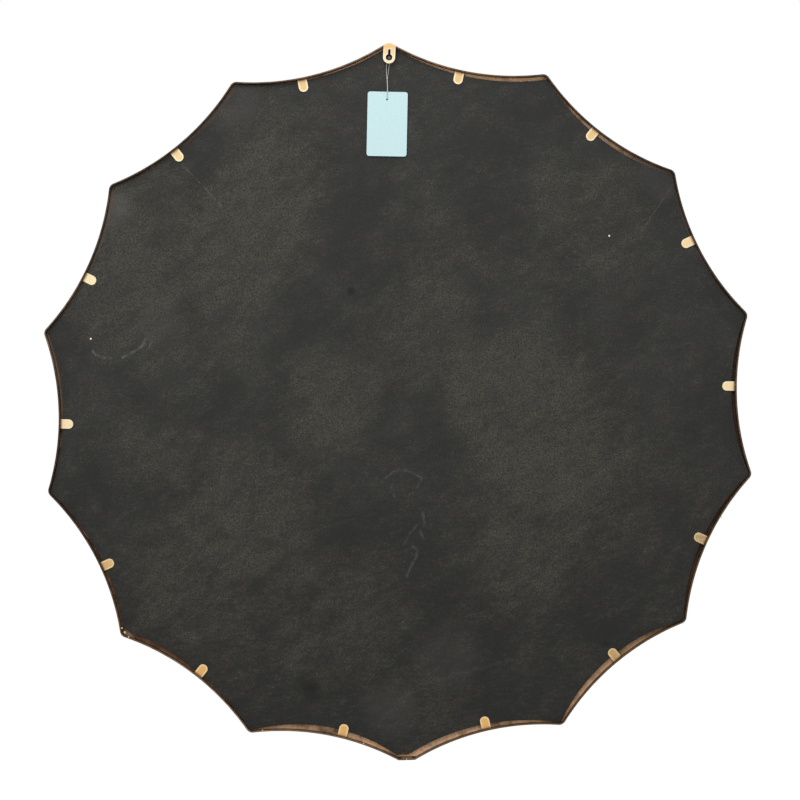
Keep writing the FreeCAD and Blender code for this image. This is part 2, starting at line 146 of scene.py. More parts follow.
class Value:
    """A number that varies over the surface; arithmetic on it adds Math nodes."""

    def __init__(self, finish, socket):
        self.finish = finish
        self.socket = socket

    def maths(self, operation, first, second):
        node = self.finish.node("ShaderNodeMath", {0: first, 1: second}, operation=operation)
        return Value(self.finish, node)

    def __add__(self, other):
        return self.maths("ADD", self, other)

    def __radd__(self, other):
        return self.maths("ADD", other, self)

    def __sub__(self, other):
        return self.maths("SUBTRACT", self, other)

    def __rsub__(self, other):
        return self.maths("SUBTRACT", other, self)

    def __mul__(self, other):
        return self.maths("MULTIPLY", self, other)

    def __rmul__(self, other):
        return self.maths("MULTIPLY", other, self)

    def __truediv__(self, other):
        return self.maths("DIVIDE", self, other)

    def __pow__(self, other):
        return self.maths("POWER", self, other)

    def least(self, other):
        return self.maths("MINIMUM", self, other)

    def most(self, other):
        return self.maths("MAXIMUM", self, other)

    def fade(self, low, high):
        """0 below low and 1 above high, or the other way round, with a smooth change."""
        sockets = {"Value": self, "From Min": low, "From Max": high}
        if low > high:
            sockets = {**sockets, "From Min": high, "From Max": low, "To Min": 1, "To Max": 0}
        node = self.finish.node("ShaderNodeMapRange", sockets, interpolation_type="SMOOTHSTEP")
        return Value(self.finish, node)


def dress(node, material):
    """Puts a finish on a CAD piece that is shown as it is."""
    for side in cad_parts[node].material_slots:
        side.material = material


CARD_SHADE = (0.555, 0.765, 0.795, 1)
CARD_LIGHT = (0.60, 0.80, 0.82, 1)
finish = Finish("pale tag card")
spot = finish.place()
pulp = finish.noise(spot, size=0.0009, detail=4, rough=0.7)
fading = finish.noise(spot, size=0.035, detail=2)
card_finish = finish.paint(
    finish.mix(pulp.fade(0.3, 0.7) * 0.5 + fading * 0.5, CARD_SHADE, CARD_LIGHT),
    roughness=0.7,
    normal=finish.bump(pulp, depth=0.00005, strength=0.3),
)
dress("hang_tag", card_finish)


# The thread: two thin strands go up from a knot, over the tack's shank and down again. Below
# the knot, a small lump of thread, they are twisted together, and the twist runs over the card
# and into its hole.
def shown(name, data, material, body="mirror", instead_of=()):
    """Puts a finished mesh or curve into the scene as a piece of the object."""
    piece = bpy.data.objects.new(name, data)
    bpy.context.scene.collection.objects.link(piece)
    data.materials.append(material)
    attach(piece, body)
    if instead_of:
        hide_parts(*instead_of)
    return piece


SAME_POINT = 1e-7


def grid_mesh(name, points, closed_u=False, closed_v=False, **attributes):
    """A mesh over a grid of points; each closed direction is joined end to start.

    points has the shape (along u, along v, 3), and each attribute gives one number to every
    point of the grid for the materials. Points that meet are merged and open ends are closed."""
    count_u, count_v = points.shape[:2]
    rows = np.arange(count_u if closed_u else count_u - 1)
    columns = np.arange(count_v if closed_v else count_v - 1)
    row, column = np.meshgrid(rows, columns, indexing="ij")
    next_row, next_column = (row + 1) % count_u, (column + 1) % count_v
    corners = np.stack([
        row * count_v + column,
        next_row * count_v + column,
        next_row * count_v + next_column,
        row * count_v + next_column,
    ], axis=-1).reshape(-1, 4)
    mesh = bpy.data.meshes.new(name)
    mesh.from_pydata(points.reshape(-1, 3).tolist(), [], corners.tolist())
    for label, values in attributes.items():
        mesh.attributes.new(label, "FLOAT", "POINT").data.foreach_set("value", values.ravel())
    tidy = bmesh.new()
    tidy.from_mesh(mesh)
    bmesh.ops.remove_doubles(tidy, verts=tidy.verts, dist=SAME_POINT)
    holes = [edge for edge in tidy.edges if edge.is_boundary]
    bmesh.ops.holes_fill(tidy, edges=holes, sides=0)
    bmesh.ops.recalc_face_normals(tidy, faces=tidy.faces)
    tidy.to_mesh(mesh)
    tidy.free()
    mesh.polygons.foreach_set("use_smooth", np.full(len(mesh.polygons), True))
    mesh.update()
    return mesh


def thread_curve(name, points, diameter):
    """A round tube along a quadratic B-spline whose control points are given in metres."""
    curve = bpy.data.curves.new(name, "CURVE")
    curve.dimensions = "3D"
    curve.bevel_depth = diameter / 2
    curve.bevel_resolution = 4
    curve.resolution_u = 8
    curve.use_fill_caps = True
    spline = curve.splines.new("NURBS")
    spline.points.add(len(points) - 1)
    for point, place in zip(spline.points, points):
        point.co = (*place, 1)
    spline.order_u = 3
    spline.use_endpoint_u = True
    return curve


def sphere_grid(steps_around, steps_down, stop=np.pi):
    """A grid over a unit sphere, or over its cap down to that angle, with the pole at +Y.

    It gives the angles around and down, and the points."""
    around, down = np.meshgrid(
        np.linspace(0, 2 * np.pi, steps_around, endpoint=False),
        np.linspace(0, stop, steps_down),
        indexing="ij",
    )
    x, z = np.sin(down) * np.cos(around), np.sin(down) * np.sin(around)
    return around, down, np.stack([x, np.cos(down), z], axis=-1)


THREAD_GREY = (0.72, 0.70, 0.66, 1)
THREAD_SHADE = (0.34, 0.33, 0.31, 1)
TWIST_ANGLE = np.radians(28)
TWIST_BANDS = {"Scale": 260, "Distortion": 1.5}
finish = Finish("thread")
spot = finish.place()
along_twist = finish.moved(spot, turn=(0, TWIST_ANGLE, 0))
twist = finish.node("ShaderNodeTexWave", {"Vector": along_twist, **TWIST_BANDS}, out="Fac")
twist = Value(finish, twist)
fuzz = finish.noise(spot, size=0.0004, detail=3)
thread_finish = finish.paint(
    finish.mix(twist * 0.6 + fuzz * 0.4, THREAD_SHADE, THREAD_GREY),
    roughness=0.85,
    normal=finish.bump(twist + fuzz, depth=0.00006, strength=0.8),
)

STRAND_DIAMETER = 0.0007
TWIST_DIAMETER = 0.0013
loop_points = np.array([
    (3.75, -6.6, -27.3), (4.55, -6.65, -17.0), (3.35, -6.8, -6.9), (1.4, -6.8, -1.9),
    (1.3, -6.8, 1.35), (-1.3, -6.8, 1.35), (-1.5, -6.8, -2.2), (-0.25, -6.8, -9.0),
    (1.35, -6.7, -18.1), (2.85, -6.6, -27.2),
]) / 1000
twist_points = np.array([
    (3.4, -6.5, -28.2), (2.95, -4.85, -41.0), (3.75, -4.4, -51.8), (4.2, -4.5, -57.4),
    (4.2, -7.1, -57.7),
]) / 1000
loop = shown(
    "loop_of_thread",
    thread_curve("loop_of_thread", loop_points, STRAND_DIAMETER),
    thread_finish, "loop", ["thread_loop"],
)
twisted = shown(
    "twisted_thread",
    thread_curve("twisted_thread", twist_points, TWIST_DIAMETER),
    thread_finish, "thread", ["tag_thread"],
)

# The knot is a ball pressed oval, with waves over it for the turns of thread.
KNOT_CENTRE = np.array([0.0034, -0.0065, -0.02775])
KNOT_SIZE = np.array([0.00105, 0.00062, 0.00115])
KNOT_LUMPS = 0.14
around, down, ball = sphere_grid(steps_around=28, steps_down=16)
lump = 1 + KNOT_LUMPS * np.sin(3 * around + 4 * down) * np.sin(down)
upright = ball[..., [0, 2, 1]]
knot = shown(
    "knot_in_thread",
    grid_mesh("knot_in_thread", KNOT_CENTRE + upright * lump[..., None] * KNOT_SIZE, closed_u=True),
    thread_finish, "loop",
)


# The band: one brass strip on edge, bent round all the scallops and points. Its two ends meet
# in the middle of the flat bottom point. The back edge is dark from age and from the paint.
POINT_RADIUS = 0.5018
VALLEY_SHARE = 0.938
SCALLOPS = 14
POINT_EASING = 0.01
FLAT_WIDTH = 0.0217
SEAM = 0.0004
PLATE_THICKNESS = 0.0015
BAND_DEPTH = 0.025
BAND_WALL = 0.002
BAND_ROUNDING = 0.00045
CORNER_STEPS = 4
valley_radius = POINT_RADIUS * VALLEY_SHARE
half_pitch = np.pi / SCALLOPS
half_chord = POINT_RADIUS * np.sin(half_pitch)
rise = POINT_RADIUS * np.cos(half_pitch) - valley_radius
scallop_radius = (rise**2 + half_chord**2) / (2 * rise)
scallop_distance = valley_radius + scallop_radius
scallop_across = scallop_distance * np.sin(half_pitch)
scallop_up = scallop_distance * np.cos(half_pitch)
point_slope = (scallop_up - POINT_RADIUS) / scallop_across
flat_radius = POINT_RADIUS - FLAT_WIDTH / 2 / point_slope


def on_spoke(across, out, turn):
    """(x, z) points from across and out along a spoke, turned counter-clockwise from below."""
    across, out = np.asarray(across), np.asarray(out)
    return np.stack([
        across * np.cos(turn) + out * np.sin(turn),
        across * np.sin(turn) - out * np.cos(turn),
    ], axis=-1)


def outline(steps=36, easing_steps=9):
    """The band's outside as (x, z) points about the mirror's centre, from seam to seam.

    Each scallop is an arc about a centre on its spoke, and each point between two scallops is
    an arc of the easing radius that touches both."""
    reach = scallop_radius + POINT_EASING
    easing_up = scallop_up - np.sqrt(reach**2 - scallop_across**2)
    easing_turn = np.arcsin(scallop_across / reach)
    touch = np.arctan2(
        easing_up * np.sin(half_pitch), scallop_distance - easing_up * np.cos(half_pitch)
    )
    corner_across = scallop_across - np.sqrt(
        scallop_radius**2 - (scallop_up - flat_radius) ** 2
    )
    flat_corner = on_spoke(corner_across, flat_radius, -half_pitch) * (1, -1)
    flat_touch = np.arctan2(flat_corner[0], scallop_distance - flat_corner[1])
    parts = [on_spoke([SEAM / 2], [flat_radius], 0)]
    for index in range(SCALLOPS):
        start = flat_touch if index == 0 else -touch
        stop = -flat_touch if index == SCALLOPS - 1 else touch
        angle = np.linspace(start, stop, steps)
        across = scallop_radius * np.sin(angle)
        out = scallop_distance - scallop_radius * np.cos(angle)
        parts.append(on_spoke(across, out, (2 * index + 1) * half_pitch))
        if index < SCALLOPS - 1:
            angle = np.linspace(-easing_turn, easing_turn, easing_steps + 1)[1:-1]
            across = POINT_EASING * np.sin(angle)
            out = easing_up + POINT_EASING * np.cos(angle)
            parts.append(on_spoke(across, out, (2 * index + 2) * half_pitch))
    parts.append(on_spoke([-SEAM / 2], [flat_radius], 0))
    return np.concatenate(parts)


def mitres(path, closed):
    """At each point of a path the step that moves both neighbouring sides inwards by one.

    It is the sum of their two unit normals over one plus the cosine between them."""
    sides = np.roll(path, -1, axis=0) - path
    normals = np.stack([-sides[:, 1], sides[:, 0]], axis=-1)
    normals /= np.linalg.norm(normals, axis=1, keepdims=True)
    before = np.roll(normals, 1, axis=0)
    if not closed:
        before[0] = normals[0]
        normals[-1] = before[-1]
    cosine = np.sum(normals * before, axis=1, keepdims=True)
    return (normals + before) / (1 + cosine)


def rounded_section(inner, back, front, rounding):
    """A rectangle with rounded corners as (inset, y) pairs, in order round its edge."""
    quarter = np.linspace(0, np.pi / 2, CORNER_STEPS)
    corners = []
    for index, (inset, depth) in enumerate(
        [(inner, back), (0, back), (0, front), (inner, front)]
    ):
        angle = quarter + index * np.pi / 2
        toward_inset = np.sign(inner / 2 - inset) * rounding
        toward_depth = np.sign((back + front) / 2 - depth) * rounding
        corners.append(np.stack([
            inset + toward_inset + rounding * np.cos(angle),
            depth + toward_depth + rounding * np.sin(angle),
        ], axis=-1))
    return np.concatenate(corners)


def along_outline(path, section, closed):
    """The section's (inset, y) pairs carried along the outline, mitred at its corners."""
    steps = mitres(path, closed)
    flat = path[:, None] + section[None, :, :1] * steps[:, None]
    depth = np.broadcast_to(section[None, :, 1:], (len(path), len(section), 1))
    return np.concatenate([flat[..., :1], depth, flat[..., 1:] - CENTRE_DROP], axis=-1)


def near_places(across, up, places, core_share=0.35):
    """The summed strengths of (x, z, reach, strength) patches.

    Each is at full strength within that share of its reach, and fades to 0 over the rest."""
    total = 0.0
    for x, z, reach, strength in places:
        away = ((across - x) * (across - x) + (up - z) * (up - z)) ** 0.5
        total = away.fade(reach, reach * core_share) * strength + total
    return total


AGED_BRASS = (0.20, 0.125, 0.055, 1)
WORN_BRASS = (0.42, 0.27, 0.11, 1)
EDGE_BLACK = (0.020, 0.014, 0.010, 1)
EDGE_BROWN = (0.125, 0.072, 0.038, 1)
EDGE_TAN = (0.26, 0.175, 0.115, 1)
EDGE_DEPTHS = (-0.0042, -0.0022)
BROWN_REACHES = [(0.0, -0.95, 0.50, 0.6), (0.0, 0.0, 0.30, 0.6), (-0.48, -0.60, 0.40, 0.45)]
TAN_REACHES = [(0.25, -0.95, 0.34, 0.8), (0.0, 0.0, 0.16, 0.6), (0.47, -0.36, 0.09, 0.7)]
finish = Finish("aged brass strip")
spot = finish.place()
patches = finish.noise(spot, size=0.03, detail=4, rough=0.6)
grain = finish.noise(finish.moved(spot, stretch=(1, 30, 1)), size=0.004, detail=3)
at_back = finish.axis(spot, "Y").fade(*EDGE_DEPTHS)
across = finish.axis(spot, "X")
up = finish.axis(spot, "Z")
flaking = finish.noise(spot, size=0.014, detail=5, rough=0.65).fade(0.40, 0.62)
brown = (flaking * 0.55 + near_places(across, up, BROWN_REACHES)).least(1.0)
tan = (near_places(across, up, TAN_REACHES) * (0.35 + 0.65 * flaking)).least(1.0)
brass = finish.mix(patches.fade(0.35, 0.7), AGED_BRASS, WORN_BRASS)
edge = finish.mix(tan, finish.mix(brown, EDGE_BLACK, EDGE_BROWN), EDGE_TAN)
band_finish = finish.paint(
    finish.mix(at_back, brass, edge),
    roughness=0.34 + 0.22 * grain + 0.2 * at_back,
    metallic=1 - at_back * 0.7,
    normal=finish.bump(grain, depth=0.00008, strength=0.5),
)
path = outline()
section = rounded_section(
    BAND_WALL, -PLATE_THICKNESS, -PLATE_THICKNESS - BAND_DEPTH, BAND_ROUNDING
)
shown(
    "brass_band",
    grid_mesh("brass_band", along_outline(path, section, False), closed_v=True),
    band_finish, instead_of=["rim_band"],
)
dress("band_lap", band_finish)


# The face ring: a flat brass ring brazed to the band's front edge. It overlaps the mirror
# sheet by a few millimetres all round and is the part of the edging that is seen from the room.
RING_WIDTH = 0.008
RING_THICKNESS = 0.002
RING_ROUNDING = 0.0007
RING_BRASS = (0.60, 0.42, 0.17, 1)
RING_TARNISH = (0.36, 0.23, 0.09, 1)
finish = Finish("satin brass ring")
spot = finish.place()
patches = finish.noise(spot, size=0.045, detail=4, rough=0.6)
brushing = finish.noise(finish.moved(spot, stretch=(1, 1, 12)), size=0.006, detail=4)
ring_finish = finish.paint(
    finish.mix(patches.fade(0.42, 0.75), RING_BRASS, RING_TARNISH),
    roughness=0.24 + 0.2 * brushing,
    metallic=1.0,
    normal=finish.bump(brushing, depth=0.00006, strength=0.4),
)
band_front = -PLATE_THICKNESS - BAND_DEPTH
section = rounded_section(RING_WIDTH, band_front, band_front - RING_THICKNESS, RING_ROUNDING)
shown(
    "brass_face_ring",
    grid_mesh(
        "brass_face_ring",
        along_outline(path[1:-1], section, True),
        closed_u=True, closed_v=True,
    ),
    ring_finish, instead_of=["face_ring"],
)


# The mirror: one sheet of silvered float glass, its edge ground to a wide shallow bevel that
# follows the scallops. It lies against the face ring from behind.
SILVER_COOL = (0.70, 0.74, 0.745, 1)
SILVER_PALE = (0.78, 0.81, 0.81, 1)
finish = Finish("silvered glass")
spot = finish.place()
haze = finish.noise(spot, size=0.12, detail=4, rough=0.6)
mirror_finish = finish.paint(
    finish.mix(haze, SILVER_COOL, SILVER_PALE),
    roughness=0.015 + 0.02 * haze.fade(0.5, 0.8),
    metallic=1.0,
)
dress("mirror_glass", mirror_finish)


# The core: thick bare board between the mirror sheet and the back board. Only a ledge of it
# shows in the gap that the back board leaves inside the band, brown and smeared with filler.
# Its colour also holds painted light and shade: pale patches that brighten the ledge where the
# band shades it, and near-black painted shadow where the gap lies in deep shade.
CORE_TAN = (0.25, 0.145, 0.085, 1)
CORE_BROWN = (0.075, 0.040, 0.021, 1)
CORE_SMEAR = (0.42, 0.34, 0.29, 1)
# Partly the bare board's own pinkish tan, partly painted light: it is brighter than the board so
# that the ledge looks lit where the band shades it.
CORE_PALE_AND_LIT = (0.90, 0.58, 0.365, 1)
CORE_PAINTED = (0.145, 0.125, 0.108, 1)
# Painted shadow: the near-black colour of the gap where it lies in deep shade.
CORE_PAINTED_SHADOW = (0.016, 0.010, 0.007, 1)
# Pale patches, partly the board's own colour and partly painted light on the shaded ledge.
PALE_AND_LIT_REACHES = [
    (-0.06, -0.97, 0.42, 1.0), (0.02, 0.0, 0.16, 2.2), (-0.16, -0.03, 0.11, 1.3),
    (-0.30, -0.13, 0.11, 0.7),
]
PAINTED_REACHES = [
    (0.40, -0.26, 0.16, 0.9), (0.26, -0.08, 0.12, 0.9), (0.48, -0.42, 0.10, 0.6),
    (-0.37, -0.16, 0.055, 0.8), (-0.43, -0.27, 0.12, 0.8),
]
# Where the painted shadow of the deep gap lies, as (x, z, reach, strength).
GAP_SHADOW_REACHES = [(-0.50, -0.46, 0.26, 0.85), (-0.45, -0.72, 0.14, 0.7), (0.50, -0.56, 0.12, 0.5)]
finish = Finish("bare core board")
spot = finish.place()
across = finish.axis(spot, "X")
up = finish.axis(spot, "Z")
fibres = finish.noise(spot, size=0.0025, detail=5, rough=0.7)
stains = finish.noise(spot, size=0.035, detail=4, rough=0.6)
smears = finish.noise(spot, size=0.018, detail=3).fade(0.58, 0.7)
pale_and_lit = near_places(across, up, PALE_AND_LIT_REACHES)
wood = finish.mix(stains.fade(0.35, 0.65), CORE_BROWN, CORE_TAN)
# Pale patches: the board's own tan together with painted light that brightens the shaded ledge.
wood = finish.mix((pale_and_lit * stains.fade(0.25, 0.6)).least(1.0), wood, CORE_PALE_AND_LIT)
wood = finish.mix(smears * 0.6, wood, CORE_SMEAR)
painted = near_places(across, up, PAINTED_REACHES)
wood = finish.mix((painted * (0.6 + stains)).least(1.0), wood, CORE_PAINTED)
# Painted shadow: the ledge turns near-black where the gap lies in deep shade.
wood = finish.mix(near_places(across, up, GAP_SHADOW_REACHES).least(1.0), wood, CORE_PAINTED_SHADOW)
core_finish = finish.paint(
    finish.mix(fibres.fade(0.35, 0.75) * 0.45, wood, CORE_BROWN),
    roughness=0.85,
    normal=finish.bump(fibres, depth=0.0004, strength=0.6),
    Specular_IOR_Level=0.2,
)
dress("core_board", core_finish)


# The back board: thin board painted matt black by hand, worn to a speckled olive brown where
# it was rubbed, with a few scratches and chalk marks from the workshop. Towards the bottom its
# paint is darkened as painted shade.
PAINT = (0.0322, 0.0320, 0.0306, 1)
PAINT_WORN_THIN = (0.0385, 0.0386, 0.0378, 1)
# Painted shade: the darker paint colour used towards the bottom, where less light falls.
PAINT_SHADED_LOW = (0.0250, 0.0248, 0.0234, 1)
RUBBED = (0.0615, 0.0590, 0.0498, 1)
RUBBED_LIGHT = (0.1080, 0.1030, 0.0870, 1)
RUBBED_DARK = (0.0190, 0.0190, 0.0150, 1)
CHALK = (0.135, 0.138, 0.135, 1)
DUST = (0.135, 0.128, 0.120, 1)
RUST = (0.066, 0.048, 0.036, 1)
SPOT_BLACK = (0.014, 0.014, 0.012, 1)
SHADE_BELOW_HEIGHTS = (-0.40, -0.85)
WIPING_ANGLE = np.radians(-32)
finish = Finish("matt black board")
spot = finish.place()
across = finish.axis(spot, "X")
up = finish.axis(spot, "Z")


def near_stroke(start, end, width, core_share=0.25):
    """1 on a stroke between two (x, z) points and 0 beyond its width.

    The distance is that from the nearest place on the segment, found by projecting onto it."""
    run_x, run_z = end[0] - start[0], end[1] - start[1]
    away_x, away_z = across - start[0], up - start[1]
    along = (away_x * run_x + away_z * run_z) / (run_x**2 + run_z**2)
    along = along.most(0.0).least(1.0)
    gap_x, gap_z = away_x - along * run_x, away_z - along * run_z
    gap = (gap_x * gap_x + gap_z * gap_z) ** 0.5
    return gap.fade(width, width * core_share)


RUBBED_PLACES = [
    (0.176, -0.185, 0.108, 1.0), (0.135, -0.105, 0.090, 0.3), (0.215, -0.260, 0.110, 0.9),
    (0.343, -0.215, 0.120, 0.5), (0.385, -0.320, 0.110, 0.6), (0.270, -0.364, 0.130, 0.4),
    (0.100, -0.475, 0.100, 0.8), (0.218, -0.614, 0.130, 0.7), (0.288, -0.715, 0.130, 0.55),
    (0.343, -0.531, 0.100, 0.4), (-0.199, -0.503, 0.150, 1.1), (-0.268, -0.590, 0.130, 0.5),
    (-0.130, -0.460, 0.105, 0.8), (-0.171, -0.669, 0.150, 0.5), (-0.060, -0.267, 0.110, 0.4),
    (-0.032, -0.378, 0.110, 0.5), (-0.268, -0.239, 0.130, 0.5), (0.093, -0.781, 0.140, 0.4),
]
HAZY_PLACES = [
    (0.395, -0.197, 0.040, 0.30), (0.215, -0.055, 0.045, 0.15), (-0.375, -0.175, 0.040, 0.12),
    (0.330, -0.360, 0.050, 0.10), (-0.060, -0.835, 0.060, 0.10), (0.020, -0.905, 0.050, 0.14),
]
wiped = finish.moved(finish.moved(spot, turn=(0, WIPING_ANGLE, 0)), stretch=(1, 1, 2.1))
cloud = finish.noise(spot, size=0.11, detail=4, rough=0.6, warp=0.5)
streaks = finish.noise(wiped, size=0.05, detail=5, rough=0.65, warp=0.3)
fine_streaks = finish.noise(finish.moved(spot, stretch=(1, 1, 3.0)), size=0.012, detail=4, rough=0.6)
flecks = finish.noise(wiped, size=0.007, detail=5, rough=0.8)
rubbing = near_places(across, up, RUBBED_PLACES).least(1.0)
for pattern, weight in ((cloud, 1.6), (streaks, 1.8), (fine_streaks, 1.5), (flecks, 1.7)):
    rubbing = rubbing + (pattern - 0.5) * weight
mottle = finish.noise(wiped, size=0.040, detail=7, rough=0.75, warp=0.5).fade(0.28, 0.72)
rubbed = (rubbing.fade(-0.45, 1.50) * (0.40 + 1.20 * mottle)).least(1.0)
speckle = finish.noise(spot, size=0.0024, detail=4, rough=0.8)
speckle_fine = finish.noise(spot, size=0.0012, detail=2, rough=0.7)
grit = speckle * 0.65 + speckle_fine * 0.35
worn = finish.mix(grit.fade(0.50, 0.66), RUBBED, RUBBED_LIGHT)
worn = finish.mix(grit.fade(0.49, 0.36), worn, RUBBED_DARK)
plain = finish.mix(cloud.fade(0.3, 0.7), PAINT, PAINT_WORN_THIN)
# Painted shade: the paint darkens towards the bottom of the board.
plain = finish.mix(up.fade(*SHADE_BELOW_HEIGHTS) * 0.8, plain, PAINT_SHADED_LOW)
plain = finish.mix(grit.fade(0.54, 0.68) * (0.12 + 0.8 * rubbed), plain, RUBBED_LIGHT)
plain = finish.mix(grit.fade(0.47, 0.34) * 0.7, plain, RUBBED_DARK)
coat = finish.mix(rubbed, plain, worn)
rust = finish.noise(finish.moved(spot, offset=(0.31, 0, 0.17)), size=0.02, detail=3).fade(0.62, 0.76)
coat = finish.mix(rust * (0.06 + 0.24 * rubbed), coat, RUST)
hazy = near_places(across, up, HAZY_PLACES)
coat = finish.mix((hazy * (0.4 + streaks)).least(1.0), coat, DUST)

# Flat dark spots painted onto the board; no hollow is modelled under them.
DARK_SPOTS = [
    (0.0612, -0.3226, 0.008, 1.0), (-0.2813, -0.8222, 0.007, 0.8), (0.1340, -0.8640, 0.022, 0.6),
    (0.1280, -0.8800, 0.022, 0.6),
]
SCRATCHES = [
    ((0.2917, -0.1398), (0.2377, -0.1995), 0.0013, 0.35),
    ((-0.3879, -0.1888), (-0.3418, -0.2530), 0.0012, 0.30),
]
CHALK_LINES = [
    (0.0022, 0.3, [
        (0.0193, -0.5832), (0.0091, -0.5748), (-0.0023, -0.5717),
        (-0.0161, -0.5763), (-0.0314, -0.5845), (-0.0233, -0.5973),
    ]),
    (0.0026, 0.26, [
        (0.0113, -0.5956), (0.0074, -0.6112),
    ]),
    (0.0026, 0.28, [
        (-0.0311, -0.6313), (-0.0332, -0.6514),
    ]),
    (0.0024, 0.26, [
        (-0.0236, -0.6486), (-0.0122, -0.6612), (-0.004, -0.6766),
    ]),
    (0.0026, 0.3, [
        (-0.0269, -0.6581), (-0.0311, -0.6686),
    ]),
    (0.0028, 0.3, [
        (-0.016, -0.6795), (-0.022, -0.6839), (-0.0201, -0.6943),
        (-0.0128, -0.7063), (-0.0066, -0.7209),
    ]),
    (0.003, 0.42, [
        (0.4221, -0.3964), (0.4182, -0.4015), (0.4074, -0.4067), (0.3975, -0.407),
    ]),
    (0.0026, 0.62, [
        (0.3807, -0.4067), (0.3706, -0.4017), (0.3607, -0.3969),
        (0.3526, -0.3912), (0.3484, -0.3824),
    ]),
    (0.002, 0.38, [
        (0.3427, -0.3954), (0.3416, -0.3885), (0.3345, -0.3808),
    ]),
    (0.004, 0.1, [
        (-0.0375, -0.8674), (-0.0905, -0.8535), (-0.1491, -0.8397),
    ]),
]
marks = 0.0
for start, end, width, strength in SCRATCHES:
    marks = marks + near_stroke(start, end, width) * strength
for width, strength, line in CHALK_LINES:
    chalk_line = 0.0
    for start, end in zip(line[:-1], line[1:]):
        chalk_line = near_stroke(start, end, width).most(chalk_line)
    marks = marks + chalk_line * strength
pressure = finish.noise(spot, size=0.009, detail=3).fade(0.36, 0.60)
marks = marks * (0.30 + 0.70 * speckle.fade(0.35, 0.6)) * (0.30 + 1.05 * pressure)
coat = finish.mix(marks.least(0.9), coat, CHALK)
# The flat dark spots, darkened by the speckle.
dark_spot_mask = near_places(across, up, DARK_SPOTS) * (0.5 + speckle)
coat = finish.mix((dark_spot_mask * 0.6).least(1.0), coat, SPOT_BLACK)
board_finish = finish.paint(
    coat,
    roughness=0.80 + 0.12 * rubbed,
    normal=finish.bump(grit, depth=0.0003, strength=0.5),
    Specular_IOR_Level=0.12,
)
dress("back_board", board_finish)


# The pins: two tiny golden pins with low domed heads, pushed into the back board by hand. Only
# their heads are made, since the rest of each is inside the board.
PIN_HEAD = np.array([0.0014, 0.00084, 0.0014])
PIN_PLACES = [(0.4242, -0.3796), (-0.2996, -0.2547)]
PIN_GOLD = (0.80, 0.66, 0.42, 1)
PIN_WHITE = (0.94, 0.90, 0.82, 1)
BOARD_BACK = 0.0075
finish = Finish("bright pin")
pin_finish = finish.paint(
    finish.mix(finish.noise(finish.place(), size=0.0006), PIN_GOLD, PIN_WHITE),
    roughness=0.35,
    metallic=0.6,
)
dome = sphere_grid(steps_around=20, steps_down=8, stop=np.pi / 2)[-1]
for index, (x, z) in enumerate(PIN_PLACES, 1):
    name = f"bright_pin_{index}"
    points = np.array([x, -BOARD_BACK, z]) + dome * PIN_HEAD
    shown(name, grid_mesh(name, points, closed_u=True), pin_finish)


# The tabs: fourteen strips of brass, each with one leg brazed to the band's inner wall, bent
# over the back board and rounded at the end. Each has its own place along its scallop. Their
# colour also holds painted light and shade: a painted highlight along their rims, painted shade
# on the bend and on the leg down in the gap, and painted shade on the lower tabs.
TAB_WIDTH = 0.013
TAB_THICKNESS = 0.0012
TAB_REACH = 0.0176
TAB_LEG = 0.010
TAB_END_SHARE = 0.48
TAB_BEND = 0.00075
TAB_ROUNDING = 0.00035
BRAZE_FILM = 0.0001
RIM_WIDTH = 0.0030
ROOT_LENGTH = 0.0075
LEG_STEPS = 5
BEND_STEPS = 7
TONGUE_STEPS = 10
END_STEPS = 14
FACE_STEPS = 14
end_radius = TAB_WIDTH * TAB_END_SHARE
TAB_SHIFTS = [
    -0.06, -0.09, -0.13, -0.11, -0.02, -0.05, -0.07,
    -0.14, -0.06, -0.13, -0.15, -0.165, -0.11, -0.16,
]


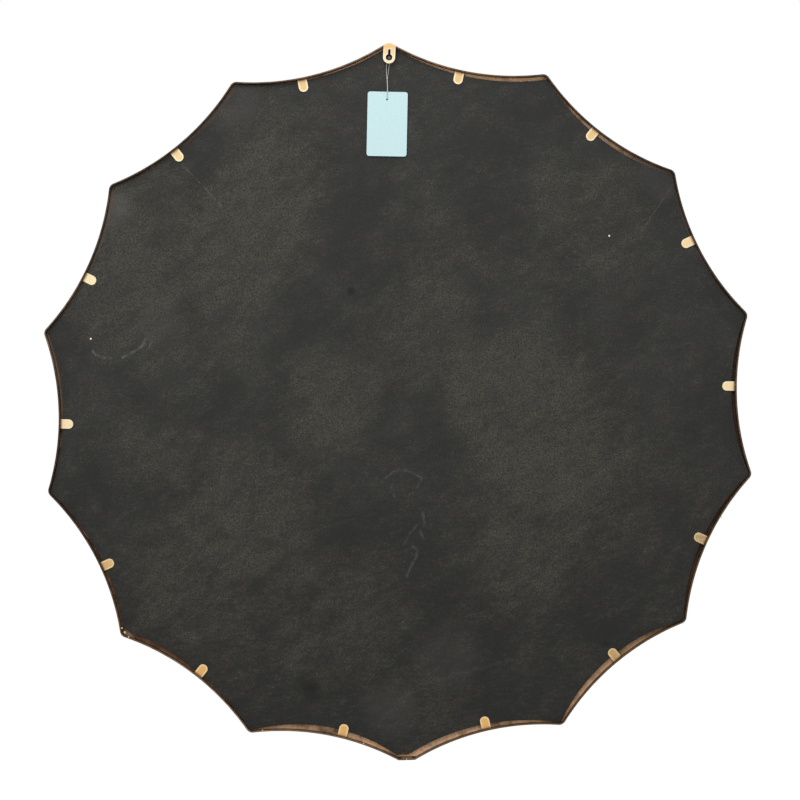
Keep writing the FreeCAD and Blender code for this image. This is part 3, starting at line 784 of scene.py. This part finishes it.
def tab_surface():
    """One tab in its own frame: x along its width, y towards the wall, z out to the band.

    A rounded rectangle is carried up the leg, round the bend and along the tongue, and at the
    rounded end its half width follows a circle. Beside the points it gives how near each one
    is to the rim and how near to the root of the tongue."""
    leg_z = -BRAZE_FILM - TAB_THICKNESS / 2
    face_y = TAB_THICKNESS / 2
    bend = np.linspace(0, np.pi / 2, BEND_STEPS)
    leg = np.linspace(-TAB_LEG, face_y - TAB_BEND, LEG_STEPS)[:-1]
    straight = np.linspace(leg_z - TAB_BEND, -TAB_REACH + end_radius, TONGUE_STEPS)[1:-1]
    end_angle = np.linspace(0, np.pi / 2, END_STEPS)
    end = -TAB_REACH + end_radius * (1 - np.sin(end_angle))
    flat = np.zeros(len(straight) + len(end))
    line_y = np.concatenate([
        leg, face_y - TAB_BEND + TAB_BEND * np.sin(bend), flat + face_y
    ])
    line_z = np.concatenate([
        np.full(len(leg), leg_z), leg_z - TAB_BEND + TAB_BEND * np.cos(bend), straight, end
    ])
    tilt = np.concatenate([np.zeros(len(leg)), bend, flat + np.pi / 2])
    half = np.full(len(line_y), TAB_WIDTH / 2)
    half[-len(end):] -= end_radius * (1 - np.cos(end_angle))
    over = np.linspace(1, -1, FACE_STEPS)[1:-1]
    middle = np.zeros(len(over))
    corner = np.ones(CORNER_STEPS)
    share = np.concatenate([corner, over, -corner, -corner, corner])
    side_n = np.concatenate([corner, middle + 1, corner, -corner, -corner])
    quarter = np.linspace(0, np.pi / 2, CORNER_STEPS)
    first, *others = [quarter + index * np.pi / 2 for index in range(4)]
    round_x = np.concatenate([np.cos(first), middle, *np.cos(others)])
    round_n = np.concatenate([np.sin(first), middle + 1, *np.sin(others)])
    soft = np.minimum(TAB_ROUNDING, half)[:, None]
    x = share * (half[:, None] - soft) + soft * round_x
    n = side_n * (TAB_THICKNESS / 2 - TAB_ROUNDING) + TAB_ROUNDING * round_n
    y = line_y[:, None] + n * np.sin(tilt)[:, None]
    z = line_z[:, None] + n * np.cos(tilt)[:, None]
    past = np.minimum(line_z + TAB_REACH - end_radius, 0)[:, None]
    inside = TAB_WIDTH / 2 - np.hypot(x, past)
    rim = 1 - np.clip(inside / RIM_WIDTH, 0, 1)
    root = np.clip(1 + line_z / ROOT_LENGTH, 0, 1)[:, None] + np.zeros(x.shape)
    return np.stack([x, y, z], axis=-1), rim, root


def turned(points, angle):
    """The points turned about +Y by that angle."""
    x, y, z = np.moveaxis(points, -1, 0)
    cosine, sine = np.cos(angle), np.sin(angle)
    return np.stack([x * cosine + z * sine, y, z * cosine - x * sine], axis=-1)


TAB_PEACH = (0.93, 0.67, 0.345, 1)
TAB_CREAM = (0.97, 0.81, 0.51, 1)
TAB_TOP = (0.76, 0.50, 0.235, 1)
# Gold tone of the brass in patches, and also painted shade on the lower tabs.
TAB_GOLD_AND_SHADE = (0.79, 0.45, 0.150, 1)
# Painted highlight along the tabs' rounded rims, lighter on the upper tabs and darker on the lower
# ones.
TAB_RIM_HIGHLIGHT = (0.94, 0.80, 0.52, 1)
TAB_RIM_HIGHLIGHT_LOW = (0.92, 0.66, 0.35, 1)
# Painted shade on the bend and the leg in the gap, and the colour of the tarnish specks.
TAB_SHADE_AND_TARNISH = (0.20, 0.10, 0.040, 1)
TAB_TARNISH = (0.40, 0.295, 0.150, 1)
LOW_SHADE_HEIGHTS = (-0.50, -0.80)
TOP_HEIGHTS = (-0.22, -0.06)
LEG_DEPTHS = (-0.0066, -0.0078)
CREAM_REACHES = [
    (0.44, -0.30, 0.42, 0.9), (-0.42, -0.26, 0.18, 0.3), (-0.46, -0.45, 0.10, 0.6),
]
TARNISH_REACHES = [(-0.42, -0.66, 0.06, 0.9), (-0.29, -0.83, 0.06, 0.7), (0.39, -0.70, 0.05, 0.35)]
finish = Finish("brass tab")
spot = finish.place()
across = finish.axis(spot, "X")
up = finish.axis(spot, "Z")
rim = finish.attribute("rim")
root = finish.attribute("root")
patches = finish.noise(spot, size=0.006, detail=4, rough=0.6)
specks = finish.noise(spot, size=0.0012, detail=3)
# 1 on the lower tabs: there the colour is darkened as painted shade, and the tarnish specks grow.
low_down = up.fade(*LOW_SHADE_HEIGHTS)
behind = finish.axis(spot, "Y").fade(*LEG_DEPTHS)
tone = finish.mix(near_places(across, up, CREAM_REACHES).least(1.0), TAB_PEACH, TAB_CREAM)
tone = finish.mix(up.fade(*TOP_HEIGHTS), tone, TAB_TOP)
# Painted shade: the lower tabs turn darker gold, as less light falls on them.
tone = finish.mix(low_down, tone, TAB_GOLD_AND_SHADE)
# Painted highlight: the rims are lightened, less so on the lower tabs.
rim_highlight = finish.mix(low_down, TAB_RIM_HIGHLIGHT, TAB_RIM_HIGHLIGHT_LOW)
tone = finish.mix(rim.fade(0.05, 0.6) * (0.5 + patches), tone, rim_highlight)
tone = finish.mix(patches.fade(0.52, 0.72) * 0.3, tone, TAB_GOLD_AND_SHADE)
tarnish = near_places(across, up, TARNISH_REACHES) * patches.fade(0.30, 0.55)
tone = finish.mix(tarnish * (1 - rim * 0.6), tone, TAB_TARNISH)
# Painted shade: dark on the bend at the tongue's root and on the leg down in the gap, with tarnish
# specks added.
shade_and_tarnish = root.fade(0.40, 1.0) * (0.40 + 0.5 * patches) + behind
shade_and_tarnish = (shade_and_tarnish + specks.fade(0.64, 0.78) * (0.15 + 0.35 * low_down)).least(1.0)
tab_finish = finish.paint(
    finish.mix(shade_and_tarnish, tone, TAB_SHADE_AND_TARNISH),
    roughness=0.42 + 0.16 * specks,
    metallic=0.30 - 0.2 * behind,
    normal=finish.bump(specks + rim * 0.6, depth=0.00012, strength=0.4),
)
inner_radius = scallop_radius + BAND_WALL
tab_points, rim, root = tab_surface()
for index, share in enumerate(TAB_SHIFTS):
    name = f"bent_tab_{index + 1:02d}"
    points = tab_points + np.array([0, -BOARD_BACK, -inner_radius])
    points = turned(points, share * half_chord / inner_radius)
    points = turned(points + np.array([0, 0, scallop_distance]), -(2 * index + 1) * half_pitch)
    mesh = grid_mesh(
        name, points - np.array([0, 0, CENTRE_DROP]), closed_v=True, rim=rim, root=root
    )
    shown(name, mesh, tab_finish, instead_of=[f"tab_{index + 1:02d}"])


# The keyhole plate: brass plate brazed over the band's back edge at the top point and trimmed
# to it, with a round hole for a screw's head and a slot above it for the shank. Its rims are
# lightened as a painted highlight along its rounded edges.
PLATE_WIDTH = 0.0169
PLATE_LENGTH = 0.030
PLATE_SKEW = np.radians(4.5)
HOLE_RADIUS = 0.0045
SLOT_WIDTH = 0.0034
SLOT_REACH = 0.0114
FACE_SHARES = np.array([0.16, 0.38, 0.62, 0.84])
TOP_POINT_SHARE = 0.9
FAR_AWAY = 1.0
PLATE_ROUNDING = 0.0003
PLATE_STEPS = 720
TINY = 1e-6


def to_rectangle(angle, half_width, low, high):
    """How far a ray at that angle from straight up runs to the sides of a rectangle."""
    sine, cosine = np.sin(angle), np.cos(angle)
    to_side = half_width / np.maximum(np.abs(sine), TINY)
    to_end = np.where(cosine >= 0, high, -low) / np.maximum(np.abs(cosine), TINY)
    return np.minimum(to_side, to_end)


def pierced_plate(angle, inner, outer, back, front, rounding):
    """A flat plate between two edges given as distances from the hole at each angle.

    Its section runs round the hole's wall, the back, the outer edge and the front. Beside the
    points it gives how far each one is from the nearer edge."""
    quarter = np.linspace(0, np.pi / 2, CORNER_STEPS)
    inwards, along_wall = rounding * (1 - np.cos(quarter)), rounding * np.sin(quarter)
    corner, face = np.zeros(CORNER_STEPS), np.zeros(len(FACE_SHARES))
    share = np.concatenate([
        corner, FACE_SHARES, corner + 1, corner + 1, FACE_SHARES[::-1], corner
    ])
    shift = np.concatenate([
        inwards, face, -inwards[::-1], -inwards, face, inwards[::-1]
    ])
    to_back, to_front = back - rounding + along_wall, front + rounding - along_wall
    depth = np.concatenate([
        to_back, face + back, to_back[::-1], to_front, face + front, to_front[::-1]
    ])
    reach = inner[:, None] * (1 - share) + outer[:, None] * share + shift
    x = reach * np.sin(angle)[:, None]
    z = reach * np.cos(angle)[:, None]
    inside = np.minimum(reach - inner[:, None], outer[:, None] - reach)
    return np.stack([x, np.broadcast_to(depth, x.shape), z], axis=-1), inside


angle = np.linspace(-np.pi, np.pi, PLATE_STEPS, endpoint=False)
skewed = angle + PLATE_SKEW
near_top = path[:, 1] > valley_radius * TOP_POINT_SHARE
edge = path[near_top] + np.array([0, -CENTRE_DROP])
edge_angle = np.arctan2(edge[:, 0], edge[:, 1])
order = np.argsort(edge_angle)
to_outline = np.interp(
    angle, edge_angle[order], np.hypot(*edge[order].T), left=FAR_AWAY, right=FAR_AWAY
)
half_plate = PLATE_WIDTH / 2
to_blank = np.where(
    np.cos(skewed) > 0,
    to_rectangle(skewed, half_plate, -PLATE_LENGTH, PLATE_LENGTH),
    half_plate,
)
slot_centre = SLOT_REACH - SLOT_WIDTH / 2
sine, cosine = np.sin(skewed), np.cos(skewed)
in_slot = (np.abs(sine) < SLOT_WIDTH / 2 / HOLE_RADIUS) & (cosine > 0)
to_slot_side = SLOT_WIDTH / 2 / np.maximum(np.abs(sine), TINY)
under_root = np.maximum((SLOT_WIDTH / 2) ** 2 - (slot_centre * sine) ** 2, 0)
to_slot_end = slot_centre * cosine + np.sqrt(under_root)
to_slot = np.where(to_slot_side * cosine < slot_centre, to_slot_side, to_slot_end)
keyhole_edge = np.where(in_slot, to_slot, HOLE_RADIUS)

PLATE_BRASS = (0.74, 0.55, 0.31, 1)
# Painted highlight along the plate's rounded edges.
PLATE_RIM_HIGHLIGHT = (0.88, 0.76, 0.53, 1)
PLATE_GOLD = (0.72, 0.45, 0.19, 1)
PLATE_STAIN = (0.40, 0.24, 0.10, 1)
PLATE_TOP_HEIGHTS = (0.0105, 0.0155)
finish = Finish("brass keyhole plate")
spot = finish.place()
rim = finish.attribute("rim")
patches = finish.noise(spot, size=0.005, detail=4, rough=0.6)
specks = finish.noise(spot, size=0.0009, detail=3)
top = finish.axis(spot, "Z").fade(*PLATE_TOP_HEIGHTS)
# Painted highlight: the plate is lightened near its edges.
tone = finish.mix(rim.fade(0.1, 0.8) * (0.5 + patches), PLATE_BRASS, PLATE_RIM_HIGHLIGHT)
tone = finish.mix((top * 0.8 + patches.fade(0.5, 0.8) * 0.3).least(1.0), tone, PLATE_GOLD)
plate_finish = finish.paint(
    finish.mix(specks.fade(0.68, 0.8) * 0.35, tone, PLATE_STAIN),
    roughness=0.42 + 0.14 * specks,
    metallic=0.35,
    normal=finish.bump(specks, depth=0.0001, strength=0.35),
)
points, inside = pierced_plate(
    angle, keyhole_edge, np.minimum(to_blank, to_outline), 0.0, -PLATE_THICKNESS, PLATE_ROUNDING
)
shown(
    "pierced_keyhole_plate",
    grid_mesh(
        "pierced_keyhole_plate", points, closed_u=True, closed_v=True,
        rim=1 - np.clip(inside / RIM_WIDTH, 0, 1),
    ),
    plate_finish, instead_of=["keyhole_plate"],
)


# The tack: a plain steel tack driven in behind the round hole, turned about its own axis. Its
# domed head is what shows grey through the hole, and the loop of thread lies round its shank.
TACK_HEAD_RADIUS = 0.0026
TACK_SHANK_RADIUS = 0.0008
TACK_TOP = -0.0051
TACK_UNDERSIDE = -0.0061
TACK_TIP = -0.0175
TACK_POINT_LENGTH = 0.0016
TACK_DOME_HEIGHT = 0.0008
TACK_LIP_SHARE = 0.98
STEEL_DARK = (0.080, 0.058, 0.052, 1)
STEEL_GREY = (0.20, 0.165, 0.165, 1)
finish = Finish("plain steel tack")
wear = finish.noise(finish.place(), size=0.0009, detail=3)
tack_finish = finish.paint(
    finish.mix(wear.fade(0.35, 0.7), STEEL_DARK, STEEL_GREY),
    roughness=0.38 + 0.2 * wear,
    metallic=0.7,
)
turn = np.linspace(0, 2 * np.pi, 32, endpoint=False)
dome_angle = np.linspace(0, np.pi / 2, 9)
reach = np.concatenate([
    TACK_HEAD_RADIUS * np.sin(dome_angle),
    [TACK_HEAD_RADIUS * TACK_LIP_SHARE, TACK_SHANK_RADIUS, TACK_SHANK_RADIUS, 0],
])
depth = np.concatenate([
    TACK_TOP - TACK_DOME_HEIGHT * (1 - np.cos(dome_angle)),
    [TACK_UNDERSIDE, TACK_UNDERSIDE, TACK_TIP + TACK_POINT_LENGTH, TACK_TIP],
])
points = np.stack([
    reach[None] * np.cos(turn)[:, None],
    np.broadcast_to(depth, (len(turn), len(depth))),
    reach[None] * np.sin(turn)[:, None],
], axis=-1)
shown(
    "steel_tack",
    grid_mesh("steel_tack", points, closed_u=True),
    tack_finish, instead_of=["thread_tack"],
)


# The beads: small drops of braze that ran onto the band's back edge and set there. Three lie
# together at one point of the outline, and the others lie singly.
BEADS = [
    (0.3903, -0.7819, 0.0013), (0.3864, -0.7881, 0.0017), (0.3813, -0.7946, 0.0012),
    (0.1990, -0.9285, 0.0010), (0.0592, -0.9501, 0.0010), (-0.4444, -0.6488, 0.0010),
]
BEAD_LIFT = 0.00025
BEAD_SHAPE = np.array([1, 0.5, 1])
BRAZE_DARK = (0.55, 0.33, 0.10, 1)
BRAZE_BRIGHT = (0.80, 0.52, 0.20, 1)
finish = Finish("braze bead")
bead_finish = finish.paint(
    finish.mix(finish.noise(finish.place(), size=0.001, detail=3), BRAZE_DARK, BRAZE_BRIGHT),
    roughness=0.35,
    metallic=0.8,
)
ball = sphere_grid(steps_around=20, steps_down=12)[-1] * BEAD_SHAPE
for index, (x, z, radius) in enumerate(BEADS, 1):
    name = f"braze_bead_{index}"
    points = np.array([x, -PLATE_THICKNESS + BEAD_LIFT, z]) + ball * radius
    shown(name, grid_mesh(name, points, closed_u=True), bead_finish)


# The room: a pale floor well below the mirror, a white surround for the camera and for what
# the brass and the glass reflect, and a large soft lamp high up between mirror and camera.
def seen(finish):
    """1 for the camera's rays, straight or by way of brass and glass, and 0 for the others."""
    camera, glossy, clear = (
        Value(finish, finish.node("ShaderNodeLightPath", {}, out=f"Is {ray} Ray"))
        for ray in ("Camera", "Glossy", "Transmission")
    )
    return camera.most(glossy).most(clear)


WHITE = (1, 1, 1, 1)
BLACK = (0, 0, 0, 1)
FLOOR_DROP = 1.3
FLOOR_HALF = 6.0
FLOOR_SHADE = (0.80, 0.80, 0.79, 1)
FLOOR_LIGHT = (0.83, 0.83, 0.82, 1)
FLOOR_GLOW = (0.48, 0.48, 0.48, 1)
floor_mesh = bpy.data.meshes.new("floor")
corners = [(-1, -1), (1, -1), (1, 1), (-1, 1)]
floor_mesh.from_pydata(
    [(x * FLOOR_HALF, y * FLOOR_HALF, -FLOOR_DROP) for x, y in corners], [], [(0, 1, 2, 3)]
)
floor = bpy.data.objects.new("floor", floor_mesh)
bpy.context.scene.collection.objects.link(floor)
finish = Finish("pale floor")
floor_finish = finish.paint(
    finish.mix(finish.noise(finish.place(), size=0.4), FLOOR_SHADE, FLOOR_LIGHT),
    roughness=0.9,
    Emission_Color=finish.mix(seen(finish), BLACK, FLOOR_GLOW),
    Emission_Strength=1.0,
)
floor_mesh.materials.append(floor_finish)

WORLD_LIGHT = 0.62
room = Finish("pale room", "worlds", "Background")
bpy.context.scene.world = room.owner
room.fill(room.surface.inputs["Color"], WHITE)
room.fill(room.surface.inputs["Strength"], WORLD_LIGHT)
lit = Link(room.surface.outputs["Background"])
surround = Link(room.node("ShaderNodeBackground", {"Color": WHITE, "Strength": 1.0}))
either = Link(room.node("ShaderNodeMixShader", {0: seen(room), 1: lit, 2: surround}))
room.fill(room.tree.nodes["World Output"].inputs["Surface"], either)

LAMP_PLACE = Vector((0.30, 1.15, 0.95))
LAMP_SIZE = 1.1
LAMP_POWER = 17
lamp = bpy.data.objects.new("soft lamp", bpy.data.lights.new("soft lamp", "AREA"))
lamp.data.shape = "SQUARE"
lamp.data.size = LAMP_SIZE
lamp.data.energy = LAMP_POWER
lamp.location = LAMP_PLACE
toward_mirror = Vector((0, 0, -CENTRE_DROP)) - LAMP_PLACE
lamp.rotation_euler = toward_mirror.to_track_quat("-Z", "Y").to_euler()
bpy.context.scene.collection.objects.link(lamp)
bpy.context.scene.view_settings.view_transform = "Standard"
